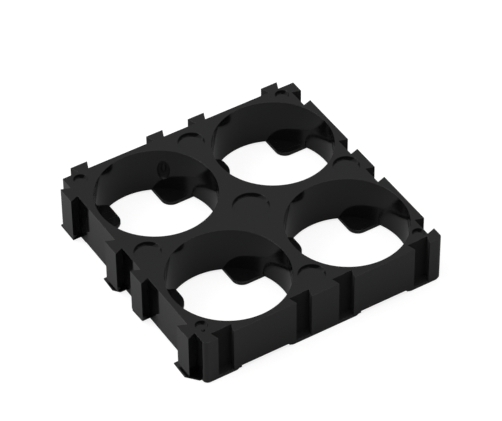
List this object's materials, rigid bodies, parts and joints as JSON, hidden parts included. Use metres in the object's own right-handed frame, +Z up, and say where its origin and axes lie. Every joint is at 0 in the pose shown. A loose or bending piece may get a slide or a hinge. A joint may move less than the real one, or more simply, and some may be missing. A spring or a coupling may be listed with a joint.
{
  "type": "battery cell holder bracket",
  "caption": "Square moulded bracket with round cell pockets, corner stops under them, and dovetail tongues and grooves that lock it to the next bracket.",
  "frame": {"origin": "midway between the cell axes, on the plane that the feet stand on", "axes": "+Z up, the way the cells leave their pockets; +X and +Y along the rows of cells, towards the groove side and the tongue side; the other tongue side is at -X and the other groove side at -Y"},
  "size_m": [0.0421, 0.0417, 0.0083],
  "materials": {
    "black_abs": "black moulded plastic with a dull gloss"
  },
  "bodies": {
    "root": {"cell_holder": "black_abs"}
  },
  "joints": []
}
